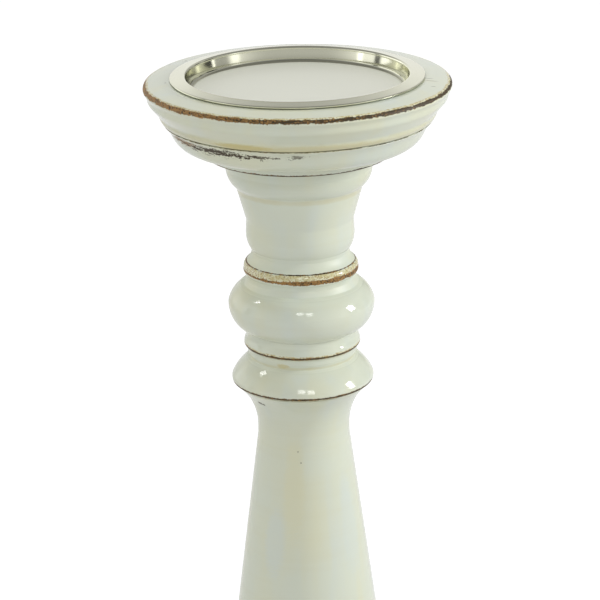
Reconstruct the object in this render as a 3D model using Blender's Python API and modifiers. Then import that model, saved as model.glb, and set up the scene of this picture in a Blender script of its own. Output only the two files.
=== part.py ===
"""Painted turned-wood pillar candlestick with a pressed metal candle pan.

A stack of turned wooden sections stands on a plinth. Every section but the top one has a
spigot on its upper face, which fits a socket in the section above. One threaded rod down
the middle clamps the stack together, between a nut in the dish and a nut under the plinth.
The pan lies loose in the dish and lifts out.

Units are metres. The turning axis is Z, +Z is up, and the felt pad stands on z = 0.
"""

import math

import bmesh
import bpy
from mathutils import Vector

# Overall sizes
DISH_RADIUS = 0.0635
PLINTH_RADIUS = 0.065

# Height of each section, face to face, from the table up
FELT_THICKNESS = 0.0020
PLINTH_HEIGHT = 0.0160
FOOT_HEIGHT = 0.0294
ANKLE_HEIGHT = 0.0137
LOWER_COLLAR_HEIGHT = 0.0117
SHAFT_HEIGHT = 0.1729
KNOP_HEIGHT = 0.0139
MIDDLE_COLLAR_HEIGHT = 0.0095
BULB_HEIGHT = 0.0222
UPPER_COLLAR_HEIGHT = 0.0111
NECK_HEIGHT = 0.0421
CUSHION_HEIGHT = 0.0149
DISH_RIM_HEIGHT = 0.0162

# Radii of the turned outline, from the dish down
RIM_SIDE_DEPTH = 0.0072
CUSHION_LEDGE = 0.0005
CUSHION_FOOT_RADIUS = 0.0390
NECK_TOP_RADIUS = 0.0318
NECK_STEP_RADIUS = 0.0263
NECK_WAIST_RADIUS = 0.0225
NECK_FOOT_RADIUS = 0.0204
UPPER_COLLAR_RADIUS = 0.0243
BULB_RADIUS = 0.0308
BULB_FOOT_RADIUS = 0.0235
MIDDLE_COLLAR_RADIUS = 0.0246
KNOP_RADIUS = 0.0298
SHAFT_TOP_RADIUS = 0.0282
SHAFT_WAIST_RADIUS = 0.0196
SHAFT_TAPER = 0.1315
SHAFT_FOOT_RADIUS = 0.0290
LOWER_COLLAR_RADIUS = 0.0315
ANKLE_RADIUS = 0.0235
FOOT_TOP_RADIUS = 0.0300
PLINTH_MARGIN = 0.0075
FELT_MARGIN = 0.0050

# Where touching pieces meet
JOINT_GAP = 0.0003
SPIGOT_RADIUS = 0.0120
SPIGOT_HEIGHT = 0.0040
RIM_SPIGOT_RADIUS = 0.0300
RIM_SPIGOT_HEIGHT = 0.0030
SPIGOT_CLEARANCE = 0.0003

# Threaded rod, nuts and washers, M8
ROD_RADIUS = 0.0040
ROD_CLEARANCE = 0.0004
NUT_ACROSS_FLATS = 0.0130
NUT_HEIGHT = 0.0065
WASHER_RADIUS = 0.0080
WASHER_THICKNESS = 0.0016
LOCK_WASHER_RADIUS = 0.0072
LOCK_WASHER_THICKNESS = 0.0020
LOCK_WASHER_SPLIT = 0.0016
HARDWARE_CLEARANCE = 0.0003
WRENCH_CLEARANCE = 0.0040
TOP_POCKET_DEPTH = 0.0057
ROD_PROUD_TOP = 0.0030
ROD_PROUD_BOTTOM = 0.0008
ROD_END_CLEARANCE = 0.0007

# Pressed candle pan
PAN_SHEET = 0.0007
PAN_BORDER = 0.0110
PAN_DEPTH = 0.0063
PAN_WALL_LEAN = 0.0029
PAN_LIP_WIDTH = 0.0062
PAN_LIP_DROP = 0.0008
PAN_CLEARANCE = 0.0006

# Smoothness
TURNED_STEPS = 28
HARDWARE_STEPS = 20
ARC_STEPS = 4
MERGE_DISTANCE = 0.00001
SHARP_ANGLE = math.radians(32)

# Worked out from the sizes above
CUSHION_RADIUS = DISH_RADIUS - RIM_SIDE_DEPTH - CUSHION_LEDGE
FOOT_RADIUS = PLINTH_RADIUS - PLINTH_MARGIN
FELT_RADIUS = PLINTH_RADIUS - FELT_MARGIN
BORE_RADIUS = ROD_RADIUS + ROD_CLEARANCE
SOCKET_RADIUS = SPIGOT_RADIUS + SPIGOT_CLEARANCE
SOCKET_DEPTH = SPIGOT_HEIGHT - JOINT_GAP + SPIGOT_CLEARANCE
RIM_SOCKET_RADIUS = RIM_SPIGOT_RADIUS + SPIGOT_CLEARANCE
RIM_SOCKET_DEPTH = RIM_SPIGOT_HEIGHT - JOINT_GAP + SPIGOT_CLEARANCE
NUT_POCKET_RADIUS = WASHER_RADIUS + WRENCH_CLEARANCE
BOTTOM_STACK = WASHER_THICKNESS + LOCK_WASHER_THICKNESS + NUT_HEIGHT + 3 * JOINT_GAP
BOTTOM_POCKET_DEPTH = BOTTOM_STACK + ROD_PROUD_BOTTOM + ROD_END_CLEARANCE
PAN_LIP_RADIUS = DISH_RADIUS - PAN_BORDER
PAN_CREST_RADIUS = PAN_LIP_RADIUS - PAN_LIP_WIDTH
PAN_FLOOR_RADIUS = PAN_CREST_RADIUS - PAN_WALL_LEAN
RECESS_RADIUS = PAN_CREST_RADIUS + PAN_SHEET + PAN_CLEARANCE
RECESS_DEPTH = PAN_DEPTH - PAN_LIP_DROP - JOINT_GAP + PAN_CLEARANCE

# Colours, as linear red, green and blue
PAINT = (0.58, 0.60, 0.50)
PAN_METAL = (0.62, 0.62, 0.56)
STEEL = (0.50, 0.50, 0.50)
FELT = (0.05, 0.09, 0.06)


class Outline:
    """Outer side of a turned section, drawn from its top edge down to its base."""

    def __init__(self, radius, height):
        self.points = [Vector((radius, height))]

    def line(self, radius, height):
        """Run straight to the next point."""
        self.points.append(Vector((radius, height)))
        return self

    def arc(self, radius, height, rise, steps=ARC_STEPS):
        """Run on a circular arc that swells out by rise, or hollows in if it is negative."""
        start, end = self.points[-1], Vector((radius, height))
        half_chord = (end - start).length / 2
        along = (end - start).normalized()
        outward = Vector((-along.y, along.x))
        middle = (start + end) / 2
        bend = (half_chord ** 2 + rise ** 2) / (2 * rise)
        turn = math.asin(half_chord / bend)
        for step in range(1, steps + 1):
            angle = turn * (2 * step / steps - 1)
            swell = bend * math.cos(angle) - bend + rise
            self.points.append(middle + along * bend * math.sin(angle) + outward * swell)
        return self

    def half_section(self):
        """The points as (radius, height) pairs."""
        return [tuple(point) for point in self.points]


def dish_rim_outline():
    """Flat for the pan's lip, sloped top, rounded edge, stepped and coved side."""
    top = DISH_RIM_HEIGHT
    edge = DISH_RADIUS
    lip_land = PAN_LIP_RADIUS + PAN_CLEARANCE
    outline = Outline(lip_land, top).line(edge - 0.0015, top - 0.0010)
    outline.arc(edge, top - 0.0035, 0.0005, 3).line(edge - 0.0013, top - 0.0052)
    outline.line(edge - 0.0016, top - 0.0078).line(edge - 0.0061, top - 0.0130)
    return outline.line(edge - 0.0062, top - 0.0145).line(edge - RIM_SIDE_DEPTH, 0.0)


def cushion_outline():
    """Short upright band, a cove and an ovolo that turns in to the foot."""
    top = CUSHION_HEIGHT
    outline = Outline(CUSHION_RADIUS, top).line(CUSHION_RADIUS, top - 0.0004)
    outline.arc(CUSHION_RADIUS - 0.0030, top - 0.0045, -0.00025, 2)
    outline.line(CUSHION_RADIUS - 0.0035, top - 0.0055)
    return outline.arc(CUSHION_FOOT_RADIUS + 0.0018, 0.0044, 0.0025, 5).line(CUSHION_FOOT_RADIUS, 0.0)


def neck_outline():
    """Torus under the dish, a step, a straight taper to the waist and a rounded foot."""
    top = NECK_HEIGHT
    outline = Outline(NECK_TOP_RADIUS, top).line(NECK_TOP_RADIUS - 0.0012, top - 0.0054)
    outline.arc(NECK_STEP_RADIUS + 0.0006, top - 0.0133, 0.0010)
    outline.line(NECK_STEP_RADIUS, top - 0.0145).line(NECK_WAIST_RADIUS, 0.0141)
    outline.line(NECK_WAIST_RADIUS + 0.0002, 0.0093)
    return outline.arc(NECK_FOOT_RADIUS + 0.0004, 0.0012, 0.0007, 3).line(NECK_FOOT_RADIUS, 0.0)


def upper_collar_outline():
    """Sloped shoulder, worn band and an undercut lower edge."""
    top, edge = UPPER_COLLAR_HEIGHT, UPPER_COLLAR_RADIUS
    outline = Outline(NECK_FOOT_RADIUS, top).arc(edge - 0.0011, top - 0.0043, -0.0005, 3)
    outline.line(edge - 0.0003, top - 0.0054).line(edge, 0.0030)
    return outline.line(edge - 0.0013, 0.0010).line(edge - 0.0013, 0.0)


def bulb_outline():
    """Full rounded bulb, fuller below its widest line than above it."""
    top, edge = BULB_HEIGHT, BULB_RADIUS
    outline = Outline(UPPER_COLLAR_RADIUS - 0.0013, top).line(UPPER_COLLAR_RADIUS - 0.0001, top - 0.0024)
    outline.arc(edge, top - 0.0103, 0.0012)
    return outline.arc(BULB_FOOT_RADIUS, 0.0, 0.0022, 6)


def middle_collar_outline():
    """Slim collar with a sharp lower edge and an undercut."""
    top, edge = MIDDLE_COLLAR_HEIGHT, MIDDLE_COLLAR_RADIUS
    outline = Outline(BULB_FOOT_RADIUS, top).line(edge - 0.0010, top - 0.0028)
    outline.line(edge - 0.0001, 0.0047).line(edge, 0.0029)
    return outline.line(edge - 0.0015, 0.0016).line(edge - 0.0015, 0.0)


def knop_outline():
    """Hollowed shoulder that swells to a sharp lower edge."""
    top, edge = KNOP_HEIGHT, KNOP_RADIUS
    outline = Outline(MIDDLE_COLLAR_RADIUS - 0.0016, top).line(MIDDLE_COLLAR_RADIUS - 0.0022, top - 0.0023)
    outline.arc(edge, 0.0033, 0.0007, 5).arc(edge, 0.0008, 0.0003, 2)
    return outline.line(edge - 0.0010, 0.0)


def shaft_outline():
    """Flared top, waist, long straight taper, full belly and a turned-in foot."""
    top = SHAFT_HEIGHT
    waist_height = top - 0.0238
    cone_foot = 0.0420
    cone_radius = SHAFT_WAIST_RADIUS + SHAFT_TAPER * (waist_height - cone_foot)
    belly_radius = cone_radius + 0.0020
    outline = Outline(SHAFT_TOP_RADIUS, top).line(SHAFT_TOP_RADIUS - 0.0003, top - 0.0006)
    outline.arc(SHAFT_WAIST_RADIUS, top - 0.0186, -0.0019, 6).line(SHAFT_WAIST_RADIUS, waist_height)
    outline.line(cone_radius, cone_foot).arc(belly_radius, 0.0240, 0.0003, 2)
    outline.arc(SHAFT_FOOT_RADIUS + 0.0010, 0.0016, 0.0036, 5)
    return outline.line(SHAFT_FOOT_RADIUS, 0.0016).line(SHAFT_FOOT_RADIUS, 0.0)


def lower_collar_outline():
    """Full bead between two fillets."""
    top, edge = LOWER_COLLAR_HEIGHT, LOWER_COLLAR_RADIUS
    fillet = edge - 0.0035
    outline = Outline(fillet, top).line(fillet, top - 0.0012)
    return outline.arc(fillet, 0.0012, 0.0035, 6).line(fillet, 0.0)


def ankle_outline():
    """Narrow cove between the lower collar and the foot."""
    top = ANKLE_HEIGHT
    outline = Outline(ANKLE_RADIUS + 0.0020, top).line(ANKLE_RADIUS + 0.0015, top - 0.0015)
    outline.arc(ANKLE_RADIUS + 0.0040, 0.0020, -0.0026, 5)
    return outline.line(ANKLE_RADIUS + 0.0045, 0.0)


def foot_outline():
    """Fillet, then an ogee: a cove that turns over into a rounded edge."""
    top = FOOT_HEIGHT
    outline = Outline(FOOT_TOP_RADIUS, top).line(FOOT_TOP_RADIUS, top - 0.0022)
    outline.line(FOOT_TOP_RADIUS + 0.0015, top - 0.0028)
    outline.arc(FOOT_RADIUS - 0.0115, 0.0095, -0.0042, 5)
    return outline.arc(FOOT_RADIUS, 0.0016, 0.0022, 4).line(FOOT_RADIUS, 0.0)


def plinth_outline():
    """Rounded upper edge, upright band and a small chamfer at the floor."""
    top, edge = PLINTH_HEIGHT, PLINTH_RADIUS
    outline = Outline(edge - 0.0055, top).line(edge - 0.0055, top - 0.0012)
    outline.arc(edge, top - 0.0062, 0.0019).line(edge, 0.0020)
    return outline.line(edge - 0.0018, 0.0)


def section_loop(outline):
    """Closed half-section of a clamped section: spigot, outer side, socket and bore."""
    top = outline.points[0].y
    crown = [(BORE_RADIUS, top + SPIGOT_HEIGHT), (SPIGOT_RADIUS, top + SPIGOT_HEIGHT), (SPIGOT_RADIUS, top)]
    socket = [(SOCKET_RADIUS, 0.0), (SOCKET_RADIUS, SOCKET_DEPTH), (BORE_RADIUS, SOCKET_DEPTH)]
    return crown + outline.half_section() + socket


def plinth_loop(outline):
    """Half-section of the plinth, whose underside has the deep pocket for the lower nut."""
    top = outline.points[0].y
    crown = [(BORE_RADIUS, top + SPIGOT_HEIGHT), (SPIGOT_RADIUS, top + SPIGOT_HEIGHT), (SPIGOT_RADIUS, top)]
    pocket = [(NUT_POCKET_RADIUS, 0.0), (NUT_POCKET_RADIUS, BOTTOM_POCKET_DEPTH)]
    pocket.append((BORE_RADIUS, BOTTOM_POCKET_DEPTH))
    return crown + outline.half_section() + pocket


def cushion_loop(outline):
    """Half-section of the cushion: wide spigot for the rim, nut pocket above, socket below."""
    top = outline.points[0].y
    spigot_top = top + RIM_SPIGOT_HEIGHT
    pocket_floor = top - TOP_POCKET_DEPTH
    crown = [(BORE_RADIUS, pocket_floor), (NUT_POCKET_RADIUS, pocket_floor)]
    crown += [(NUT_POCKET_RADIUS, spigot_top), (RIM_SPIGOT_RADIUS, spigot_top), (RIM_SPIGOT_RADIUS, top)]
    socket = [(SOCKET_RADIUS, 0.0), (SOCKET_RADIUS, SOCKET_DEPTH), (BORE_RADIUS, SOCKET_DEPTH)]
    return crown + outline.half_section() + socket


def dish_rim_loop(outline):
    """Half-section of the rim: recess for the pan, hole over the nut, wide socket below."""
    top = outline.points[0].y
    recess_floor = top - RECESS_DEPTH
    recess = [(NUT_POCKET_RADIUS, recess_floor), (RECESS_RADIUS, recess_floor), (RECESS_RADIUS, top)]
    socket = [(RIM_SOCKET_RADIUS, 0.0), (RIM_SOCKET_RADIUS, RIM_SOCKET_DEPTH)]
    socket.append((NUT_POCKET_RADIUS, RIM_SOCKET_DEPTH))
    return recess + outline.half_section() + socket


# Each wooden section from the plinth up: name, height, outline, and how its half-section closes
SECTIONS = [
    ("plinth", PLINTH_HEIGHT, plinth_outline, plinth_loop),
    ("foot", FOOT_HEIGHT, foot_outline, section_loop),
    ("ankle", ANKLE_HEIGHT, ankle_outline, section_loop),
    ("lower_collar", LOWER_COLLAR_HEIGHT, lower_collar_outline, section_loop),
    ("shaft", SHAFT_HEIGHT, shaft_outline, section_loop),
    ("knop", KNOP_HEIGHT, knop_outline, section_loop),
    ("middle_collar", MIDDLE_COLLAR_HEIGHT, middle_collar_outline, section_loop),
    ("bulb", BULB_HEIGHT, bulb_outline, section_loop),
    ("upper_collar", UPPER_COLLAR_HEIGHT, upper_collar_outline, section_loop),
    ("neck", NECK_HEIGHT, neck_outline, section_loop),
    ("dish_cushion", CUSHION_HEIGHT, cushion_outline, cushion_loop),
    ("dish_rim", DISH_RIM_HEIGHT, dish_rim_outline, dish_rim_loop),
]


def clear_scene():
    """Remove everything that the file starts with."""
    for item in list(bpy.data.objects):
        bpy.data.objects.remove(item, do_unlink=True)


def make_collection(name):
    """New collection in the scene."""
    collection = bpy.data.collections.new(name)
    bpy.context.scene.collection.children.link(collection)
    return collection


def make_material(name, colour, roughness, metallic):
    """Principled material with one colour."""
    material = bpy.data.materials.new(name)
    material.use_nodes = True
    shader = material.node_tree.nodes["Principled BSDF"]
    shader.inputs["Base Color"].default_value = (*colour, 1.0)
    shader.inputs["Roughness"].default_value = roughness
    shader.inputs["Metallic"].default_value = metallic
    return material


def finish(body, collection, material):
    """Bake the modifiers, shade the round sides smooth and file the object away."""
    collection.objects.link(body)
    bpy.context.view_layer.update()
    evaluated = body.evaluated_get(bpy.context.evaluated_depsgraph_get())
    mesh = bpy.data.meshes.new_from_object(evaluated)
    mesh.name = body.name
    body.modifiers.clear()
    body.data = mesh
    mesh.materials.clear()
    mesh.materials.append(material)
    mesh.shade_smooth()
    mesh.set_sharp_from_angle(angle=SHARP_ANGLE)
    return body


def turned_body(name, points, closed, steps):
    """Object whose half-section in the XZ plane is swept round the Z axis."""
    mesh = bpy.data.meshes.new(name)
    count = len(points)
    edges = [(index, (index + 1) % count) for index in range(count if closed else count - 1)]
    mesh.from_pydata([(radius, 0.0, height) for radius, height in points], edges, [])
    body = bpy.data.objects.new(name, mesh)
    screw = body.modifiers.new("Turn", "SCREW")
    screw.angle = 2 * math.pi
    screw.steps = steps
    screw.render_steps = steps
    screw.use_merge_vertices = True
    screw.merge_threshold = MERGE_DISTANCE
    return body


def make_sections(collection):
    """Turn the wooden sections and stack them; returns the height of each one's base."""
    bases = {}
    base = FELT_THICKNESS + JOINT_GAP
    for name, height, outline, loop in SECTIONS:
        body = turned_body(name, loop(outline()), True, TURNED_STEPS)
        body.location.z = base
        finish(body, collection, make_material(name + "_paint", PAINT, 0.3, 0.0))
        bases[name] = base
        base += height + JOINT_GAP
    return bases


def make_pan(collection, dish_top):
    """Pressed pan: flat floor, leaning wall, rounded crest and a lip that slopes down."""
    lip_height = dish_top + JOINT_GAP + PAN_SHEET
    crest = lip_height + PAN_LIP_DROP
    floor = crest - PAN_DEPTH
    wall = Outline(0.0, floor).line(PAN_FLOOR_RADIUS, floor)
    wall.arc(PAN_FLOOR_RADIUS + 0.0016, floor + 0.0016, -0.0005, 3)
    wall.line(PAN_CREST_RADIUS - 0.0004, crest - 0.0011)
    wall.arc(PAN_CREST_RADIUS + 0.0009, crest, 0.0005, 3)
    wall.line(PAN_LIP_RADIUS, lip_height)
    body = turned_body("candle_pan", wall.half_section(), False, TURNED_STEPS)
    sheet = body.modifiers.new("Sheet", "SOLIDIFY")
    sheet.thickness = PAN_SHEET
    sheet.offset = -1.0
    sheet.use_even_offset = True
    return finish(body, collection, make_material("pan_metal", PAN_METAL, 0.15, 1.0))


def make_felt(collection):
    """Felt disc glued under the plinth."""
    points = [(0.0, FELT_THICKNESS), (FELT_RADIUS, FELT_THICKNESS), (FELT_RADIUS, 0.0), (0.0, 0.0)]
    body = turned_body("felt_pad", points, False, TURNED_STEPS)
    return finish(body, collection, make_material("felt", FELT, 0.95, 0.0))


def make_washer(collection, name, radius, thickness, base):
    """Flat ring on the rod."""
    hole = ROD_RADIUS + HARDWARE_CLEARANCE
    points = [(hole, thickness), (radius, thickness), (radius, 0.0), (hole, 0.0)]
    body = turned_body(name, points, True, HARDWARE_STEPS)
    body.location.z = base
    return finish(body, collection, make_material(name + "_steel", STEEL, 0.35, 1.0))


def make_cutter(cutters, name, size, centre):
    """Box that cuts another piece and is never part of the object."""
    mesh = bpy.data.meshes.new(name)
    shape = bmesh.new()
    bmesh.ops.create_cube(shape, size=1.0)
    bmesh.ops.scale(shape, vec=size, verts=shape.verts)
    bmesh.ops.translate(shape, vec=centre, verts=shape.verts)
    shape.to_mesh(mesh)
    shape.free()
    cutter = bpy.data.objects.new(name, mesh)
    cutter.hide_render = True
    cutter.display_type = "WIRE"
    cutters.objects.link(cutter)
    return cutter


def make_lock_washer(collection, cutters, base):
    """Spring washer: a ring split on its +X side."""
    ring = make_washer(collection, "bottom_lock_washer", LOCK_WASHER_RADIUS, LOCK_WASHER_THICKNESS, base)
    reach = 2 * LOCK_WASHER_RADIUS
    size = (reach, LOCK_WASHER_SPLIT, 2 * LOCK_WASHER_THICKNESS)
    centre = (reach / 2, 0.0, base + LOCK_WASHER_THICKNESS / 2)
    cut = ring.modifiers.new("Split", "BOOLEAN")
    cut.operation = "DIFFERENCE"
    cut.solver = "EXACT"
    cut.object = make_cutter(cutters, "lock_washer_split", size, centre)
    return ring


def make_nut(collection, name, base):
    """Hexagon nut: six-sided prism whose round hole clears the rod."""
    mesh = bpy.data.meshes.new(name)
    shape = bmesh.new()
    corner_radius = NUT_ACROSS_FLATS / 2 / math.cos(math.pi / 6)
    for radius, sides in ((corner_radius, 6), (ROD_RADIUS + HARDWARE_CLEARANCE, 6 * 3)):
        bmesh.ops.create_circle(shape, radius=radius, segments=sides, cap_ends=False)
    bmesh.ops.triangle_fill(shape, edges=shape.edges, use_beauty=True)
    raised = bmesh.ops.extrude_face_region(shape, geom=shape.faces)["geom"]
    top = [item for item in raised if isinstance(item, bmesh.types.BMVert)]
    bmesh.ops.translate(shape, vec=(0.0, 0.0, NUT_HEIGHT), verts=top)
    bmesh.ops.recalc_face_normals(shape, faces=shape.faces)
    shape.to_mesh(mesh)
    shape.free()
    body = bpy.data.objects.new(name, mesh)
    body.location.z = base
    return finish(body, collection, make_material(name + "_steel", STEEL, 0.3, 1.0))


def make_rod(collection, low, high):
    """Threaded rod, as its plain outer cylinder."""
    mesh = bpy.data.meshes.new("tie_rod")
    shape = bmesh.new()
    bmesh.ops.create_cone(shape, cap_ends=True, segments=HARDWARE_STEPS, radius1=ROD_RADIUS,
                          radius2=ROD_RADIUS, depth=high - low)
    shape.to_mesh(mesh)
    shape.free()
    body = bpy.data.objects.new("tie_rod", mesh)
    body.location.z = (low + high) / 2
    return finish(body, collection, make_material("tie_rod_steel", STEEL, 0.4, 1.0))


def make_hardware(collection, cutters, bases):
    """Rod, washers and nuts, placed from the floors of the two nut pockets."""
    pocket_floor = bases["dish_cushion"] + CUSHION_HEIGHT - TOP_POCKET_DEPTH
    top_washer = pocket_floor + JOINT_GAP
    top_nut = top_washer + WASHER_THICKNESS + JOINT_GAP
    bottom_washer = bases["plinth"] + BOTTOM_POCKET_DEPTH - JOINT_GAP - WASHER_THICKNESS
    lock_washer = bottom_washer - JOINT_GAP - LOCK_WASHER_THICKNESS
    bottom_nut = lock_washer - JOINT_GAP - NUT_HEIGHT
    make_washer(collection, "top_washer", WASHER_RADIUS, WASHER_THICKNESS, top_washer)
    make_nut(collection, "top_nut", top_nut)
    make_washer(collection, "bottom_washer", WASHER_RADIUS, WASHER_THICKNESS, bottom_washer)
    make_lock_washer(collection, cutters, lock_washer)
    make_nut(collection, "bottom_nut", bottom_nut)
    make_rod(collection, bottom_nut - ROD_PROUD_BOTTOM, top_nut + NUT_HEIGHT + ROD_PROUD_TOP)


def main():
    clear_scene()
    collection = make_collection("Candlestick")
    cutters = make_collection("Cutters")
    bases = make_sections(collection)
    make_felt(collection)
    make_hardware(collection, cutters, bases)
    make_pan(collection, bases["dish_rim"] + DISH_RIM_HEIGHT)


main()
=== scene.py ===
"""Painted pillar candlestick: turned wooden sections, pressed candle pan, tie rod and felt.

The sizes here are in metres unless a name says otherwise, and +Z is up. The front of the
candlestick faces -Y, and its axis is Z. Angles round the axis start at the front and grow
towards +X.
"""

import math

import bmesh
import bpy
from bpy.props import FloatProperty, FloatVectorProperty, IntProperty, PointerProperty
from mathutils import Matrix, Vector, noise


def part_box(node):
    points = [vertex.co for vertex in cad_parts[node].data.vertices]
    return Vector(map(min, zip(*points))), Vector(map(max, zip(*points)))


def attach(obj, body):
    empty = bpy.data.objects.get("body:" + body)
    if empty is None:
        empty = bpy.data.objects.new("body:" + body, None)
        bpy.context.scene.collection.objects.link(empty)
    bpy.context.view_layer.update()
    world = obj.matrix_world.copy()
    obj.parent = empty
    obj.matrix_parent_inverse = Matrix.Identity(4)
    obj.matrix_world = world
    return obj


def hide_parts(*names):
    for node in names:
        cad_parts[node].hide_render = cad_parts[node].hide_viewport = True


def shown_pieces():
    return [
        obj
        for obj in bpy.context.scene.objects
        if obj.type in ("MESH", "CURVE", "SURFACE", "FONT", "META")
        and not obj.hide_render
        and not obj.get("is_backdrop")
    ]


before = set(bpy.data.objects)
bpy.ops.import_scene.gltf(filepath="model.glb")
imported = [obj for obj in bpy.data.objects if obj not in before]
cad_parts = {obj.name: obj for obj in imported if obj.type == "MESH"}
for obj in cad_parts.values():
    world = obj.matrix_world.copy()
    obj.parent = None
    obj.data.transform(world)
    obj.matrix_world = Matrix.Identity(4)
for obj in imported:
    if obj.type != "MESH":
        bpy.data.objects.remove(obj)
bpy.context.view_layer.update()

bl_info = {
    "name": "Painted Pillar Candlestick",
    "version": (1, 0, 0),
    "blender": (4, 5, 0),
    "location": "3D View > Sidebar > Candlestick",
    "description": "Finishes the turned candlestick and sets its stage",
    "category": "Object",
}

MM = 0.001
FULL_TURN = 2 * math.pi

# Outer side of each wooden section from its top edge to its base, in millimetres from the
# axis and from the base. A third number is the rise of an arc that leads to the point.
OUTLINES = {
    "plinth": [(59.5, 16.0), (59.5, 14.8), (65.0, 9.8, 1.9), (65.0, 2.0), (63.2, 0.0)],
    "foot": [(30.0, 29.4), (30.0, 27.2), (31.5, 26.6), (46.0, 9.5, -4.2), (57.5, 1.6, 2.2),
             (57.5, 0.0)],
    "ankle": [(25.5, 13.7), (25.0, 12.2), (27.5, 2.0, -2.6), (28.0, 0.0)],
    "lower_collar": [(28.0, 11.7), (28.0, 10.5), (28.0, 1.2, 3.5), (28.0, 0.0)],
    "shaft": [(28.2, 172.9), (27.9, 172.3), (19.6, 154.3, -1.9), (19.6, 149.1),
              (33.684, 42.0), (35.684, 24.0, 0.3), (30.0, 1.6, 3.6), (29.0, 1.6), (29.0, 0.0)],
    "knop": [(23.0, 13.9), (22.4, 11.6), (29.8, 3.3, 0.7), (29.8, 0.8, 0.3), (28.8, 0.0)],
    "middle_collar": [(23.5, 9.5), (23.6, 6.7), (24.5, 4.7), (24.6, 2.9), (23.1, 1.6),
                      (23.1, 0.0)],
    "bulb": [(23.0, 22.2), (24.2, 19.8), (30.8, 11.9, 1.2), (23.5, 0.0, 2.2)],
    "upper_collar": [(20.4, 11.1), (23.2, 6.8, -0.5), (24.0, 5.7), (24.3, 3.0), (23.0, 1.0),
                     (23.0, 0.0)],
    "neck": [(31.8, 42.1), (30.6, 36.7), (26.9, 28.8, 1.0), (26.3, 27.6), (22.5, 14.1),
             (22.7, 9.3), (20.8, 1.2, 0.7), (20.4, 0.0)],
    "dish_cushion": [(55.8, 14.9), (55.8, 14.5), (52.8, 10.4, -0.25), (52.3, 9.4),
                     (40.8, 4.4, 2.5), (39.0, 0.0)],
    "dish_rim": [(53.1, 16.2), (62.0, 15.2), (63.5, 12.7, 0.5), (62.2, 11.0), (61.9, 8.4),
                 (57.4, 3.2), (57.3, 1.7), (56.3, 0.0)],
}

# The joints inside: points before the outline, above its top, and after it, above its base
SPIGOT = [(4.4, 4.0), (12.0, 4.0), (12.0, 0.0)]
SOCKET = [(12.3, 0.0), (12.3, 4.0), (4.4, 4.0)]
CROWNS = {
    "dish_cushion": [(4.4, -5.7), (12.0, -5.7), (12.0, 3.0), (30.0, 3.0), (30.0, 0.0)],
    "dish_rim": [(12.0, -5.8), (47.6, -5.8), (47.6, 0.0)],
}
SOCKETS = {
    "plinth": [(12.0, 0.0), (12.0, 12.5), (4.4, 12.5)],
    "dish_rim": [(30.3, 0.0), (30.3, 3.0), (12.0, 3.0)],
}

# Sections whose base joint is filled and painted over: each reaches a little below its own
# base, into the section under it, so that no gap shows
FILLED_JOINTS = ("neck", "upper_collar", "bulb", "middle_collar")
FILLED_REACH = 0.45

# Top face of the pressed pan: radius, height above the flat, rise of the arc
PAN_FACE = [(0.0, 0.0), (43.4, 0.0), (45.0, 1.6, -0.5), (45.9, 5.2), (47.2, 6.3, 0.5),
            (52.5, 5.5)]
PAN_SHEET = 0.7
PAN_BEND = 1.2
PAN_EDGE = 0.25

# Felt disc, in millimetres: rounding of its edge, longest step of its outline, depth of nap
FELT_EDGE = 0.5
FELT_SPAN = 1.2
FELT_NAP = 0.14

# Steel hardware, in millimetres
THREAD_PITCH = 1.25
THREAD_DEPTH = 0.5
ROD_CHAMFER = 0.2
ROD_PLAIN_END = 0.5
HOLE_RADIUS = 4.3
HOLE_CHAMFER = 0.4
WASHER_SPLIT = 1.6
NUT_FACE_SHARE = 0.96

# Angle between faces past which an edge is left sharp
WOOD_CREASE = math.radians(40)
STEEL_CREASE = math.radians(35)
NUT_CREASE = math.radians(20)


def base_of(node):
    """Height of a CAD node's underside."""
    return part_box(node)[0].z


def top_of(node):
    """Height of a CAD node's highest point."""
    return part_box(node)[1].z


def place(node, radius, height):
    """Point on a section's side, from millimetres off the axis and above the section's base."""
    return radius * MM, base_of(node) + height * MM


class TurningSettings(bpy.types.PropertyGroup):
    """How finely and how evenly the wood is turned."""

    steps: IntProperty(name="Steps", description="Facets round each turned section",
                       default=180, min=24, max=360)
    span: FloatProperty(name="Span", description="Longest straight step along the outline",
                        default=0.0011, min=0.0004, max=0.01, precision=4, unit="LENGTH")
    softness: FloatProperty(name="Softness", description="How far paint rounds off a corner",
                            default=0.0007, min=0.0, max=0.002, precision=4, unit="LENGTH")
    ripple: FloatProperty(name="Ripple", description="Height of the marks that turning leaves",
                          default=0.00005, min=0.0, max=0.0003, precision=5, unit="LENGTH")


class PaintSettings(bpy.types.PropertyGroup):
    """Colours of the enamel and of what shows where it is worn."""

    enamel: FloatVectorProperty(name="Enamel", description="Colour of the sound enamel",
                                default=(0.70, 0.74, 0.61), subtype="COLOR")
    ivory: FloatVectorProperty(name="Ivory", description="Colour where the enamel has yellowed",
                               default=(0.75, 0.735, 0.50), subtype="COLOR")
    mist: FloatVectorProperty(name="Mist", description="Cooler colour of thin enamel",
                              default=(0.66, 0.73, 0.69), subtype="COLOR")
    # The stain colour is also laid in the grooves as painted shade
    stain: FloatVectorProperty(name="Stain", description="Colour of the stain by the grooves",
                               default=(0.60, 0.52, 0.22), subtype="COLOR")
    caramel: FloatVectorProperty(name="Caramel", description="Bare wood that light still reaches",
                                 default=(0.33, 0.175, 0.045), subtype="COLOR")
    umber: FloatVectorProperty(name="Umber", description="Bare wood that has darkened",
                               default=(0.044, 0.026, 0.004), subtype="COLOR")
    gloss: FloatProperty(name="Roughness", description="Roughness of the enamel",
                         default=0.07, min=0.02, max=1.0, subtype="FACTOR")


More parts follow.
